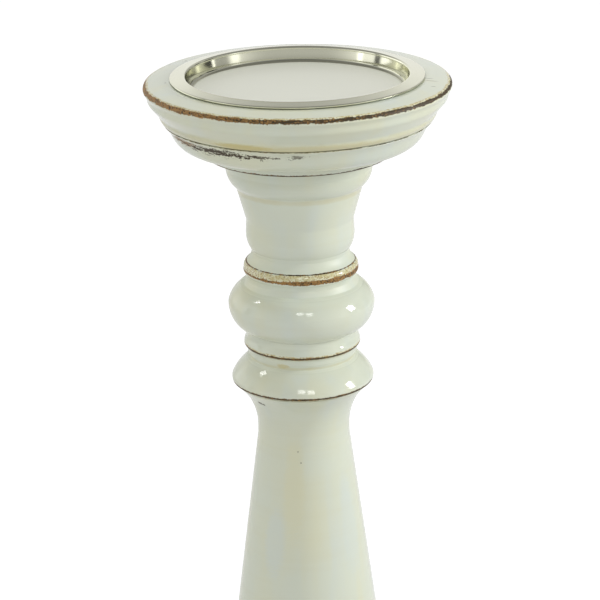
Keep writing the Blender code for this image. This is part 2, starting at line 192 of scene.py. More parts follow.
class MetalSettings(bpy.types.PropertyGroup):
    """The pan and the steel that holds the stack together."""

    pan: FloatVectorProperty(name="Pan", description="Colour of the polished pan",
                             default=(0.84, 0.84, 0.67), subtype="COLOR")
    pan_floor: FloatVectorProperty(name="Pan floor", description="Colour of the satin floor",
                                   default=(0.95, 0.96, 0.84), subtype="COLOR")
    pan_roughness: FloatProperty(name="Pan roughness", description="Roughness of the pan",
                                 default=0.11, min=0.02, max=1.0, subtype="FACTOR")
    steel: FloatVectorProperty(name="Steel", description="Colour of the zinc-plated steel",
                               default=(0.52, 0.53, 0.55), subtype="COLOR")
    felt: FloatVectorProperty(name="Felt", description="Colour of the felt",
                              default=(0.045, 0.085, 0.055), subtype="COLOR")


class StageSettings(bpy.types.PropertyGroup):
    """Floor, light and camera."""

    floor: FloatVectorProperty(name="Floor", description="Colour of the floor",
                               default=(0.60, 0.60, 0.60), subtype="COLOR")
    glow: FloatProperty(name="Floor glow", description="Light that the lit floor gives back",
                        default=0.335, min=0.0, max=2.0)
    key: FloatProperty(name="Key", description="Power of the softbox on the right",
                       default=8.3, min=0.0, unit="POWER")
    fill: FloatProperty(name="Fill", description="Power of the softbox on the left",
                        default=0.8, min=0.0, unit="POWER")
    windows: FloatProperty(name="Windows", description="Power of each lamp at the front",
                           default=1.4, min=0.0, unit="POWER")
    overhead: FloatProperty(name="Overhead", description="Power of the light above",
                            default=5.2, min=0.0, unit="POWER")
    front: FloatProperty(name="Front", description="Power of the broad light at the front",
                         default=1.9, min=0.0, unit="POWER")
    above_pan: FloatProperty(name="Above pan", description="Power of the light on the pan",
                             default=3.5, min=0.0, unit="POWER")
    lens: FloatProperty(name="Lens", description="Focal length in millimetres",
                        default=156.9, min=20.0, max=400.0, unit="CAMERA")


class Value:
    """A number that changes over a surface; arithmetic on it adds Math nodes."""

    def __init__(self, finish, socket):
        self.finish = finish
        self.socket = socket

    def __add__(self, other):
        return self.finish.math("ADD", self, other)

    __radd__ = __add__

    def __sub__(self, other):
        return self.finish.math("SUBTRACT", self, other)

    def __rsub__(self, other):
        return self.finish.math("SUBTRACT", other, self)

    def __mul__(self, other):
        return self.finish.math("MULTIPLY", self, other)

    __rmul__ = __mul__

    def __truediv__(self, other):
        return self.finish.math("DIVIDE", self, other)

    def __pow__(self, power):
        return self.finish.math("POWER", self, power)


class Finish:
    """The node tree of one finish, with short ways to add nodes to it."""

    def __init__(self, name, world=False):
        library = bpy.data.worlds if world else bpy.data.materials
        self.material = library.new(name)
        self.material.use_nodes = True
        self.tree = self.material.node_tree
        self.surface = self.tree.nodes["Background" if world else "Principled BSDF"]

    def set(self, socket, value):
        """Give a socket a plain value, a wrapped value or another node's socket."""
        if isinstance(value, Value):
            value = value.socket
        if isinstance(value, bpy.types.NodeSocket):
            self.tree.links.new(value, socket)
        elif socket.type == "RGBA" and len(value) == 3:
            socket.default_value = (*value, 1.0)
        else:
            socket.default_value = value

    def node(self, kind, settings=None, sockets=None):
        """Add a node: its settings first, then the values or links of its sockets."""
        node = self.tree.nodes.new("ShaderNode" + kind)
        for name, value in (settings or {}).items():
            setattr(node, name, value)
        for name, value in (sockets or {}).items():
            self.set(node.inputs[name], value)
        return node

    def math(self, operation, *values):
        """Math node on up to three values."""
        node = self.node("Math", {"operation": operation}, dict(enumerate(values)))
        return Value(self, node.outputs[0])

    def vector(self, operation, first, second):
        """Vector Math node on two vectors."""
        node = self.node("VectorMath", {"operation": operation}, {0: first, 1: second})
        return node.outputs[0]

    def ease(self, value, low, high):
        """0 where the value is at low and 1 where it is at high, eased between."""
        node = self.node("MapRange", {"interpolation_type": "SMOOTHSTEP"},
                         {0: value, 1: low, 2: high})
        return Value(self, node.outputs[0])

    def blend(self, factor, first, second):
        """Colour that goes from first to second."""
        node = self.node("Mix", {"data_type": "RGBA"}, {0: factor, 6: first, 7: second})
        return node.outputs[2]

    def cloud(self, place, scale, detail=2.0, stretch=(1.0, 1.0, 1.0)):
        """Noise from 0 to 1 whose size is about 1 / scale metres."""
        factors = tuple(scale * part for part in stretch)
        scaled = self.vector("MULTIPLY", place, factors)
        sockets = {"Vector": scaled, "Scale": 1.0, "Detail": detail}
        return Value(self, self.node("TexNoise", None, sockets).outputs[0])

    def relief(self, height, depth, below=None):
        """Normal that makes the height, from 0 to 1, stand out by depth metres."""
        sockets = {"Height": height, "Distance": depth, "Strength": 1.0}
        if below is not None:
            sockets["Normal"] = below
        return self.node("Bump", None, sockets).outputs[0]


def object_place(finish):
    """Object coordinates, and the parts that the finishes use: x, y, z, radius and angle."""
    coordinates = finish.node("TexCoord").outputs["Object"]
    parts = finish.node("SeparateXYZ", None, {0: coordinates}).outputs
    x, y, z = (Value(finish, part) for part in parts)
    radius = finish.math("SQRT", x * x + y * y)
    angle = finish.math("ARCTAN2", x, y * -1.0) * (360 / FULL_TURN)
    return coordinates, x, y, z, radius, angle


def ring_distance(finish, radius, z, spot):
    """Distance from a ring round the axis, given as its radius and height."""
    across, along = radius - spot[0], z - spot[1]
    return finish.math("SQRT", across * across + along * along)


def sector(finish, angle, start, end, soft):
    """1 between two angles in degrees, easing to 0 over soft degrees on both sides."""
    rising = finish.ease(angle, start - soft, start + soft)
    return rising * (1 - finish.ease(angle, end - soft, end + soft))


# Rings where the paint is worn through: node, radius and height on it, half-width of the
# bare wood, how much of the ring is worn from 0 to 1, how much wider it is on the right,
# how pale its wood is, and how much darker that is on the right
WORN_RINGS = [
    ("dish_rim", 62.8, 14.0, 0.94, 1.0, -0.12, 1.0, 0.17),
    ("dish_cushion", 55.9, 14.9, 0.30, 0.80, 0.0, 0.6, 0.05),
    ("dish_cushion", 53.6, 12.0, 0.70, 0.18, 0.0, 0.6, 0.05),
    ("dish_cushion", 39.0, 0.1, 0.68, 1.0, 0.0, 0.6, 0.05),
    ("upper_collar", 23.0, 7.1, 0.36, 0.90, 0.0, 0.9, 0.02),
    ("upper_collar", 24.3, 3.8, 0.84, 0.95, 0.50, 1.6, 0.02),
    ("middle_collar", 24.6, 2.9, 0.62, 1.0, 0.0, 0.85, 0.02),
    ("knop", 29.8, 1.2, 0.52, 1.0, 0.0, 0.75, 0.02),
    ("shaft", 29.8, 1.9, 0.45, 0.8, 0.0, 0.6, 0.02),
    ("lower_collar", 31.5, 5.8, 0.60, 0.55, 0.0, 1.0, 0.02),
    ("foot", 31.0, 26.9, 0.50, 0.85, 0.0, 0.6, 0.02),
    ("foot", 57.6, 1.8, 0.60, 0.85, 0.0, 0.7, 0.02),
    ("plinth", 64.0, 12.4, 0.90, 0.75, 0.0, 1.0, 0.02),
    ("plinth", 64.6, 1.6, 0.80, 0.95, 0.0, 0.8, 0.02),
]

# Rings of primer that fringe the bare wood: node, radius, height and half-width
PRIMED_RINGS = [
    ("dish_rim", 62.6, 14.3, 1.45),
    ("upper_collar", 23.9, 5.5, 1.75),
    ("middle_collar", 24.5, 2.9, 1.25),
    ("knop", 29.5, 0.9, 1.1),
    ("foot", 31.0, 26.9, 0.80),
    ("foot", 57.6, 1.8, 0.95),
    ("plinth", 64.0, 12.4, 1.40),
    ("plinth", 64.6, 1.6, 1.30),
]

# Grooves where glaze has gathered and where painted shade is laid: node, radius, height and
# half-width
GLAZED_AND_SHADED_GROOVES = [
    ("dish_rim", 57.0, 1.2, 2.0),
    ("neck", 26.4, 27.5, 1.3),
    ("knop", 22.6, 12.2, 0.6),
    ("shaft", 29.2, 1.0, 1.6),
    ("ankle", 27.6, 1.0, 1.6),
    ("foot", 31.0, 28.5, 1.6),
    ("plinth", 59.4, 15.8, 1.6),
]

# Hollows that rubbing has not reached, where the gloss is dull: node, radius, height, reach
DULL_HOLLOWS = [
    ("bulb", 24.2, 21.3, 3.0),
    ("upper_collar", 21.6, 9.6, 3.2),
    ("knop", 22.6, 12.2, 2.0),
]

# Marks that lie along the turning: node, angle and half-width round the axis in degrees,
# height and half-height on the node, colour, strength and raggedness
MARKS = [
    ("dish_rim", -23.0, 13.0, 1.3, 1.5, "stain", 0.85, 0.5),
    ("dish_rim", 8.0, 34.0, 1.0, 1.7, "stain", 0.38, 0.6),
    ("dish_cushion", -58.0, 16.0, 12.4, 2.1, "caramel", 0.9, 1.8),
    ("dish_cushion", -58.0, 15.0, 12.2, 1.2, "umber", 0.6, 3.4),
    ("dish_cushion", -38.0, 23.0, 12.1, 2.0, "umber", 1.0, 2.6),
    ("dish_cushion", -19.0, 14.0, 12.0, 0.9, "umber", 0.85, 2.6),
    ("dish_cushion", -0.8, 4.5, 12.4, 0.9, "umber", 0.7, 2.4),
    ("shaft", -12.0, 13.0, 129.0, 22.0, "ivory", 0.55, 0.5),
    ("shaft", -32.0, 12.0, 106.0, 16.0, "mist", 0.5, 0.5),
    ("shaft", 50.0, 12.0, 112.0, 24.0, "mist", 0.4, 0.5),
    ("knop", -21.0, 8.0, 13.2, 1.2, "stain", 0.6, 0.7),
]

# Small chips and specks: node, radius and angle, height on the node, and size across
CHIPS = [
    ("dish_rim", 57.1, -124.9, 15.7, 1.0),
    ("dish_rim", 54.2, -84.5, 16.1, 0.9),
    ("dish_rim", 60.5, -118.0, 15.3, 0.7),
    ("shaft", 24.3, -49.2, 168.4, 1.8),
    ("shaft", 24.3, -46.6, 168.1, 1.6),
    ("shaft", 24.2, -43.4, 167.9, 1.5),
    ("shaft", 19.9, -7.8, 147.1, 0.5),
    ("shaft", 20.5, -4.2, 142.3, 0.6),
    ("shaft", 24.5, 160.0, 112.0, 0.9),
    ("shaft", 28.5, 112.0, 80.0, 0.8),
    ("neck", 23.5, 150.0, 20.0, 0.7),
    ("bulb", 30.6, -150.0, 12.0, 0.9),
    ("foot", 45.0, 30.0, 10.5, 1.2),
    ("foot", 52.0, -75.0, 7.0, 1.0),
    ("plinth", 65.0, -20.0, 6.0, 1.4),
    ("plinth", 65.0, 100.0, 8.0, 1.1),
]

# Fine scratches across the top of the dish: radius and angle of the middle, half-length
SCRATCHES = [
    (55.2, 80.0, 3.4),
    (54.0, 83.5, 2.2),
    (57.6, 72.0, 1.2),
]
SCRATCH_HALF_WIDTH = 0.5


def ring_mark(finish, radius, z, node, ring_radius, height, reach, soft):
    """1 nearer than reach to a ring on a node, easing to 0 over soft millimetres."""
    distance = ring_distance(finish, radius, z, place(node, ring_radius, height))
    return 1 - finish.ease(distance / MM - reach, -0.5 * soft, 0.5 * soft)


def most(finish, marks):
    """The strongest of several masks."""
    strongest = marks[0]
    for mark in marks[1:]:
        strongest = finish.math("MAXIMUM", strongest, mark)
    return strongest


def sound_enamel(finish, paint, spot, lathe):
    """Colour of the whole enamel: slow drifts of ivory and mist, streaks, turning rings."""
    broad = finish.cloud(spot, 26.0, 2.0)
    streak = finish.cloud(spot, 75.0, 2.0, (1.0, 1.0, 0.12))
    colour = finish.blend(finish.ease(broad, 0.45, 0.72) * 0.40, paint.enamel, paint.ivory)
    colour = finish.blend(finish.ease(streak, 0.52, 0.75) * 0.35, colour, paint.ivory)
    colour = finish.blend(finish.ease(streak, 0.48, 0.25) * 0.45, colour, paint.mist)
    return finish.blend(finish.ease(lathe, 0.45, 0.75) * 0.05, colour, paint.stain)


def glaze_and_shade_grooves(finish, paint, colour, radius, z, patch):
    """Lay the stain colour in the grooves, partly as real glaze and partly as painted shade."""
    reach = 0.4 + patch
    # The stain colour laid in the grooves is partly pooled glaze and partly painted shade in the
    # creases
    glaze_and_shade = most(finish, [ring_mark(finish, radius, z, node, ring, height, reach * width, width)
                           for node, ring, height, width in GLAZED_AND_SHADED_GROOVES])
    return finish.blend(glaze_and_shade * (0.08 + 0.40 * patch), colour, paint.stain)


def prime_edges(finish, paint, colour, radius, z, clouds):
    """Lay the fringe of primer round the worn edges."""
    fine, grain, drift, flecks = (clouds[name] for name in ("fine", "grain", "drift", "flecks"))
    primed = most(finish, [ring_mark(finish, radius, z, node, ring, height,
                                     (drift * 0.6 + 0.9) * width + flecks * 0.5, 0.3)
                           for node, ring, height, width in PRIMED_RINGS])
    primer = finish.blend(finish.ease(fine, 0.51, 0.58) * 0.8, paint.ivory, paint.caramel)
    primer = finish.blend(finish.ease(grain, 0.42, 0.60) * 0.65, primer, paint.stain)
    return finish.blend(primed * 0.9, colour, primer)


def wear_edges(finish, paint, colour, radius, z, side, clouds):
    """Show bare wood along the worn edges; gives the colour and where the wood is bare."""
    speckle = ((clouds["fine"] - 0.5) + (clouds["drawn"] - 0.5) * 0.6
               + (clouds["grain"] - 0.5) * 0.2)
    threads = finish.ease(clouds["drawn"], 0.57, 0.63)
    bare = []
    for node, ring, height, width, amount, lean, pale, shade in WORN_RINGS:
        reach = ((clouds["drift"] + (1.6 * amount - 0.6)) * width * (1 + lean * side)
                 + clouds["flecks"] * min(0.8, width))
        mark = ring_mark(finish, radius, z, node, ring, height, reach, 0.14)
        light = finish.ease(speckle - side * shade + 0.2 * (pale - 1.2), -0.07, 0.09)
        wood = finish.blend(light * (1 - 0.6 * threads), paint.umber, paint.caramel)
        colour = finish.blend(mark, colour, wood)
        bare.append(mark)
    return colour, most(finish, bare)


def lay_marks(finish, paint, colour, bare, angle, z, clouds):
    """Add the stains and the crackle that lie along the turning."""
    rough = (clouds["fine"] - 0.5) + (clouds["drawn"] - 0.5)
    for node, turn, half_turn, height, half_height, tint, strength, ragged in MARKS:
        across = (angle - turn) / half_turn
        along = (z - place(node, 0.0, height)[1]) / (half_height * MM)
        off = finish.math("SQRT", across * across + along * along)
        mark = 1 - finish.ease(off + rough * ragged, 0.55, 0.55 + 0.6 / (0.4 + ragged))
        colour = finish.blend(mark * strength, colour, getattr(paint, tint))
        if tint in ("caramel", "umber"):
            bare = finish.math("MAXIMUM", bare, mark * strength)
    return colour, bare


def chip_paint(finish, paint, colour, bare, spot, flecks):
    """Add the small chips and specks."""
    for node, ring, turn, height, size in CHIPS:
        out, up = place(node, ring, height)
        turn = math.radians(turn)
        middle = (out * math.sin(turn), -out * math.cos(turn), up)
        off = Value(finish, finish.node("VectorMath", {"operation": "DISTANCE"},
                                        {0: spot, 1: middle}).outputs[1])
        mark = 1 - finish.ease(off / (size * MM) + flecks * 0.35, 0.25, 0.60)
        colour = finish.blend(mark * 0.85, colour, paint.umber)
        bare = finish.math("MAXIMUM", bare, mark)
    return colour, bare


def scratch_dish(finish, paint, colour, x, y, z, flecks):
    """Draw the fine scratches across the top of the dish."""
    on_top = finish.ease(z, *(place("dish_rim", 0.0, height)[1] for height in (14.9, 15.3)))
    for ring, turn, half_length in SCRATCHES:
        turn = math.radians(turn)
        across = (x - ring * math.sin(turn) * MM) / (half_length * MM)
        along = (y + ring * math.cos(turn) * MM) / (SCRATCH_HALF_WIDTH * MM)
        off = finish.math("SQRT", across * across + along * along)
        mark = (1 - finish.ease(off + flecks * 0.3, 0.6, 1.0)) * on_top
        colour = finish.blend(mark * 0.45, colour, paint.umber)
    return colour


def enamel_finish(paint):
    """Glossy pale enamel over wood, worn through at the edges, and stained in the grooves with
    glaze and painted shade.
    """
    finish = Finish("ivory_enamel")
    spot, x, y, z, radius, angle = object_place(finish)
    side = x / radius
    fine = finish.cloud(spot, 1500.0, 4.0)
    grain = finish.cloud(spot, 480.0, 3.0)
    patch = finish.cloud(spot, 120.0, 2.0)
    lathe = finish.cloud(spot, 260.0, 2.0, (0.05, 0.05, 1.0))
    clouds = {"fine": fine, "grain": grain,
              "drawn": finish.cloud(spot, 1400.0, 2.0, (0.22, 0.22, 1.0)),
              "drift": (patch - 0.5) * 1.2 + (grain - 0.5) * 0.7,
              "flecks": (fine - 0.5) * 1.5}

    colour = sound_enamel(finish, paint, spot, lathe)
    colour = glaze_and_shade_grooves(finish, paint, colour, radius, z, patch)
    colour = prime_edges(finish, paint, colour, radius, z, clouds)
    colour, bare = wear_edges(finish, paint, colour, radius, z, side, clouds)
    colour, bare = lay_marks(finish, paint, colour, bare, angle, z, clouds)
    colour, bare = chip_paint(finish, paint, colour, bare, spot, clouds["flecks"])
    colour = scratch_dish(finish, paint, colour, x, y, z, clouds["flecks"])

    dull = most(finish, [ring_mark(finish, radius, z, node, ring, height, reach, 2.0)
                         for node, ring, height, reach in DULL_HOLLOWS])
    roughness = (bare * (0.45 + 0.2 * grain)
                 + (1 - bare) * (paint.gloss + 0.03 * patch + 0.35 * dull))
    peel = finish.cloud(spot, 700.0, 1.0)
    brushed = finish.relief(peel * 0.5 + lathe * 0.5, 0.015 * MM)
    normal = finish.relief(1 - bare * (0.6 + 0.4 * fine), 0.10 * MM, brushed)
    shader = finish.surface.inputs
    finish.set(shader["Base Color"], colour)
    finish.set(shader["Roughness"], roughness)
    finish.set(shader["Normal"], normal)
    return finish.material


def pan_finish(metal):
    """Pressed pan: satin floor, polished wall and lip, with fine turning lines and scuffs, and
    painted shade darkening the fillet at the foot of the wall.
    """
    finish = Finish("polished_pan")
    spot, _, _, _, radius, _ = object_place(finish)
    cloudy = finish.cloud(spot, 45.0, 3.0)
    scuffs = finish.cloud(spot, 900.0, 2.0, (0.04, 1.0, 1.0))
    rings = finish.node("TexNoise", {"noise_dimensions": "1D"},
                        {"W": radius * 2200.0, "Scale": 1.0, "Detail": 3.0}).outputs[0]
    rings = Value(finish, rings)
    satin = 1 - finish.ease(radius, 42.6 * MM, 44.6 * MM)
    dull = finish.ease(cloudy, 0.4, 0.8)
    # The darker pan colour below is painted shade, laid by the corner mask in the fillet between
    # floor and wall
    tarnish = tuple(0.86 * part for part in metal.pan)
    grime_and_shade = tuple(0.55 * part for part in metal.pan)
    corner = 1 - finish.ease(finish.math("ABSOLUTE", radius - 44.1 * MM), 0.2 * MM, 1.5 * MM)
    shader = finish.surface.inputs
    finish.set(shader["Metallic"], 1 - 0.84 * satin)
    sheet = finish.blend(dull * 0.25, metal.pan, tarnish)
    sheet = finish.blend(satin, sheet, metal.pan_floor)
    finish.set(shader["Base Color"], finish.blend(corner * 0.8, sheet, grime_and_shade))
    finish.set(shader["Roughness"], metal.pan_roughness + 0.36 * satin + 0.04 * dull
               + 0.03 * finish.ease(scuffs, 0.6, 0.75))
    finish.set(shader["Normal"], finish.relief(rings, 0.004 * MM))
    return finish.material


def steel_finish(metal):
    """Zinc-plated steel with soft spangle and a little grime."""
    finish = Finish("zinc_steel")
    spot = finish.node("TexCoord").outputs["Object"]
    spangle = finish.node("TexVoronoi", None, {"Vector": spot, "Scale": 900.0})
    tone = Value(finish, finish.node("SeparateColor", None, {0: spangle.outputs[1]}).outputs[0])
    grime_and_shade = finish.cloud(spot, 350.0, 3.0)
    shader = finish.surface.inputs
    finish.set(shader["Metallic"], 1.0)
    shade = finish.blend(tone * 0.25, metal.steel, (0.70, 0.71, 0.70))
    finish.set(shader["Base Color"],
               finish.blend(finish.ease(grime_and_shade, 0.55, 0.8) * 0.6, shade, (0.16, 0.13, 0.10)))
    finish.set(shader["Roughness"], 0.24 + 0.2 * grime_and_shade + 0.08 * tone)
    finish.set(shader["Normal"], finish.relief(grime_and_shade, 0.02 * MM))
    return finish.material


def felt_finish(metal):
    """Pressed wool felt: matted fibres and a soft sheen."""
    finish = Finish("wool_felt")
    spot = finish.node("TexCoord").outputs["Object"]
    fibres = finish.cloud(spot, 2600.0, 4.0, (1.0, 0.35, 1.0))
    crossed = finish.cloud(spot, 2300.0, 4.0, (0.3, 1.0, 1.0))
    matted = fibres * 0.5 + crossed * 0.5
    pale = tuple(min(1.0, 2.6 * part) for part in metal.felt)
    shader = finish.surface.inputs
    finish.set(shader["Base Color"],
               finish.blend(finish.ease(matted, 0.40, 0.66), metal.felt, pale))
    finish.set(shader["Roughness"], 0.95)
    finish.set(shader["Sheen Weight"], 0.6)
    finish.set(shader["Sheen Roughness"], 0.5)
    finish.set(shader["Normal"], finish.relief(matted, 0.12 * MM))
    return finish.material


def material(name, recipe, settings):
    """The named material, made with its recipe the first time it is asked for."""
    return bpy.data.materials.get(name) or recipe(settings)


def trace(points, base):
    """Points of a half-section in metres, with each arc drawn out in short steps."""
    traced = []
    for point in points:
        end = Vector((point[0], point[1]))
        rise = point[2] if len(point) > 2 else 0.0
        if rise:
            start = traced[-1]
            chord = end - start
            outward = Vector((-chord.y, chord.x)).normalized()
            bend = (chord.length ** 2 / 4 + rise ** 2) / (2 * rise)
            turn = math.asin(chord.length / 2 / bend)
            steps = max(6, math.ceil(chord.length / 0.6))
            for step in range(1, steps):
                part = turn * (2 * step / steps - 1)
                swell = bend * math.cos(part) - bend + rise
                traced.append((start + end) / 2 + chord.normalized() * bend * math.sin(part)
                              + outward * swell)
        traced.append(end)
    return [Vector((point.x * MM, 0.0, base + point.y * MM)) for point in traced]


def draw_profile(shape, points, closed):
    """Wire of the half-section, ready to be softened and spun."""
    verts = [shape.verts.new(point) for point in points]
    pairs = list(zip(verts, verts[1:] + verts[:1] if closed else verts[1:]))
    for first, second in pairs:
        shape.edges.new((first, second))
    return verts


def soften_corners(shape, verts, softness, crisp=()):
    """Round each corner of the wire with a small bevel, but not at the crisp heights."""
    for vert in verts:
        at_joint = any(abs(vert.co.z - height) < 0.01 * MM for height in crisp)
        if len(vert.link_edges) < 2 or at_joint:
            continue
        arms = [edge.other_vert(vert).co - vert.co for edge in vert.link_edges]
        bend = math.pi - arms[0].angle(arms[1])
        if bend > math.radians(9):
            room = 0.42 * min(arm.length for arm in arms)
            bmesh.ops.bevel(shape, geom=[vert], offset=min(softness, room),
                            offset_type="OFFSET", segments=4, profile=0.5,
                            affect="VERTICES", material=-1)


def divide_profile(shape, span):
    """Cut the long steps of the wire so that the surface can carry its ripple."""
    for edge in [edge for edge in shape.edges if edge.calc_length() > span]:
        cuts = math.ceil(edge.calc_length() / span) - 1
        bmesh.ops.subdivide_edges(shape, edges=[edge], cuts=cuts)


def spin_profile(shape, steps):
    """Turn the wire once round the Z axis: a short arc first, then copies of that arc.
    The seams between the copies, and the poles, are merged."""
    arc_steps = 12
    copies = max(2, round(steps / arc_steps))
    around = {"cent": (0.0, 0.0, 0.0), "axis": (0.0, 0.0, 1.0), "dvec": (0.0, 0.0, 0.0),
              "use_merge": False}
    bmesh.ops.spin(shape, geom=shape.verts[:] + shape.edges[:], angle=FULL_TURN / copies,
                   steps=arc_steps, use_duplicate=False, **around)
    bmesh.ops.spin(shape, geom=shape.verts[:] + shape.edges[:] + shape.faces[:],
                   angle=FULL_TURN * (copies - 1) / copies, steps=copies - 1,
                   use_duplicate=True, **around)
    bmesh.ops.remove_doubles(shape, verts=shape.verts, dist=0.000002)
    bmesh.ops.recalc_face_normals(shape, faces=shape.faces)


def ripple_surface(shape, height, still):
    """Push the surface in and out a little, as turning and thick paint leave it,
    but less and less within 3 mm of the heights that stay still."""
    shape.normal_update()
    moves = []
    for vert in shape.verts:
        reach = math.hypot(vert.co.x, vert.co.y)
        rings = noise.noise(Vector((reach * 260.0, 7.0, vert.co.z * 260.0)))
        slow = noise.noise(Vector((vert.co.x * 45.0, vert.co.y * 45.0, vert.co.z * 45.0)))
        share = min([1.0] + [abs(vert.co.z - level) / (3 * MM) for level in still])
        moves.append(vert.normal * (rings + slow) * height * share)
    for vert, move in zip(shape.verts, moves):
        vert.co += move


def file_away(shape, name, body, nodes, finish, sharp=None):
    """Make the bmesh a finished object: material, smooth shading, body and stand-in."""
    mesh = bpy.data.meshes.new(name)
    shape.to_mesh(mesh)
    shape.free()
    piece = bpy.data.objects.new(name, mesh)
    bpy.context.scene.collection.objects.link(piece)
    mesh.materials.append(finish)
    mesh.shade_smooth()
    if sharp is not None:
        mesh.set_sharp_from_angle(angle=sharp)
    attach(piece, body)
    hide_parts(*nodes)
    return piece


def section_points(name):
    """Closed half-section of a wooden section, with its spigot and socket."""
    outline = OUTLINES[name]
    top = outline[0][1]
    crown = [(radius, top + height) for radius, height in CROWNS.get(name, SPIGOT)]
    points = crown + outline + SOCKETS.get(name, SOCKET)
    if name in FILLED_JOINTS:
        points = [(point[0], -FILLED_REACH, *point[2:]) if point[1] == 0.0 else point
                  for point in points]
    return trace(points, base_of(name))


def crisp_heights(name):
    """Heights of a section's faces at filled joints, where no corner is rounded."""
    names = list(OUTLINES)
    above = names[names.index(name) + 1:][:1]
    heights = []
    if name in FILLED_JOINTS:
        heights.append(base_of(name) - FILLED_REACH * MM)
    if above and above[0] in FILLED_JOINTS:
        heights.append(base_of(name) + OUTLINES[name][0][1] * MM)
    return heights


class CANDLESTICK_OT_turn_sections(bpy.types.Operator):
    """Turn the twelve wooden sections and paint them."""

    bl_idname = "candlestick.turn_sections"
    bl_label = "Turn Wooden Sections"

    def execute(self, context):
        turning = context.scene.candlestick_turning
        finish = material("ivory_enamel", enamel_finish, context.scene.candlestick_paint)
        for name in OUTLINES:
            shape = bmesh.new()
            verts = draw_profile(shape, section_points(name), closed=True)
            soften_corners(shape, verts, turning.softness, crisp_heights(name))
            divide_profile(shape, turning.span)
            spin_profile(shape, turning.steps)
            ripple_surface(shape, turning.ripple, crisp_heights(name))
            file_away(shape, "turned_" + name, "stand", [name], finish,
                      WOOD_CREASE)
        return {"FINISHED"}


class CANDLESTICK_OT_press_pan(bpy.types.Operator):
    """Press the candle pan from sheet and polish it."""

    bl_idname = "candlestick.press_pan"
    bl_label = "Press Candle Pan"

    def execute(self, context):
        turning = context.scene.candlestick_turning
        shape = bmesh.new()
        flat = base_of("candle_pan") + PAN_SHEET * MM
        verts = draw_profile(shape, trace(PAN_FACE, flat), closed=False)
        soften_corners(shape, verts, PAN_BEND * MM)
        divide_profile(shape, 1.0 * MM)
        spin_profile(shape, turning.steps)
        if sum(face.normal.z for face in shape.faces) < 0:
            bmesh.ops.reverse_faces(shape, faces=shape.faces)
        bmesh.ops.solidify(shape, geom=shape.faces, thickness=PAN_SHEET * MM)
        rim = [edge for edge in shape.edges if edge.is_manifold
               and edge.calc_face_angle(0.0) > math.radians(60)]
        bmesh.ops.bevel(shape, geom=rim, offset=PAN_EDGE * MM, segments=3, profile=0.5,
                        affect="EDGES", material=-1)
        finish = material("polished_pan", pan_finish, context.scene.candlestick_metal)
        file_away(shape, "pressed_pan", "pan", ["candle_pan"], finish)
        return {"FINISHED"}


def spun_steel(name, node, points, finish, softness, steps=64):
    """Steel ring or rod that stands for a CAD node, from its half-section in millimetres."""
    shape = bmesh.new()
    closed = points[0][0] > 0
    verts = draw_profile(shape, trace(points, base_of(node)), closed)
    if softness:
        soften_corners(shape, verts, softness)
    spin_profile(shape, steps)
    return file_away(shape, name, "stand", [node], finish, STEEL_CREASE)


def threaded_rod(finish):
    """The tie rod, with its thread cut as close rings and its ends chamfered."""
    length = (top_of("tie_rod") - base_of("tie_rod")) / MM
    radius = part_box("tie_rod")[1].x / MM
    root = radius - THREAD_DEPTH
    tip = root - ROD_CHAMFER
    points = [(0.0, 0.0), (tip, 0.0)]
    height = 0.6
    while height + THREAD_PITCH < length - 0.4:
        points += [(root, height), (radius, height + 0.5 * THREAD_PITCH),
                   (radius, height + 0.6 * THREAD_PITCH)]
        height += THREAD_PITCH
    points += [(root, length - ROD_PLAIN_END), (tip, length), (0.0, length)]
    spun_steel("threaded_rod", "tie_rod", points, finish, 0.0, steps=36)


def washer_section(node):
    """Half-section of a washer, from the box of its CAD node."""
    low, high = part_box(node)
    outer, thick = high.x / MM, (high.z - low.z) / MM
    return [(HOLE_RADIUS, thick), (outer, thick), (outer, 0.0), (HOLE_RADIUS, 0.0)]


def washer(name, node, finish):
    """Flat washer with stamped, slightly rounded edges."""
    spun_steel(name, node, washer_section(node), finish, 0.25 * MM)


def split_washer(name, node, finish):
    """Spring washer, open on its +X side."""
    gap = WASHER_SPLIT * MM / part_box(node)[1].x
    shape = bmesh.new()
    verts = draw_profile(shape, trace(washer_section(node), base_of(node)), closed=True)
    soften_corners(shape, verts, 0.2 * MM)
    bmesh.ops.rotate(shape, verts=shape.verts, cent=(0.0, 0.0, 0.0),
                     matrix=Matrix.Rotation(gap / 2, 3, "Z"))
    first_end = shape.edges[:]
    spun = bmesh.ops.spin(shape, geom=shape.verts[:] + first_end, cent=(0.0, 0.0, 0.0),
                          axis=(0.0, 0.0, 1.0), dvec=(0.0, 0.0, 0.0),
                          angle=FULL_TURN - gap, steps=60, use_duplicate=False)
    last_end = [item for item in spun["geom_last"] if isinstance(item, bmesh.types.BMEdge)]
    for end in (first_end, last_end):
        bmesh.ops.edgeloop_fill(shape, edges=end)
    bmesh.ops.recalc_face_normals(shape, faces=shape.faces)
    file_away(shape, name, "stand", [node], finish, STEEL_CREASE)


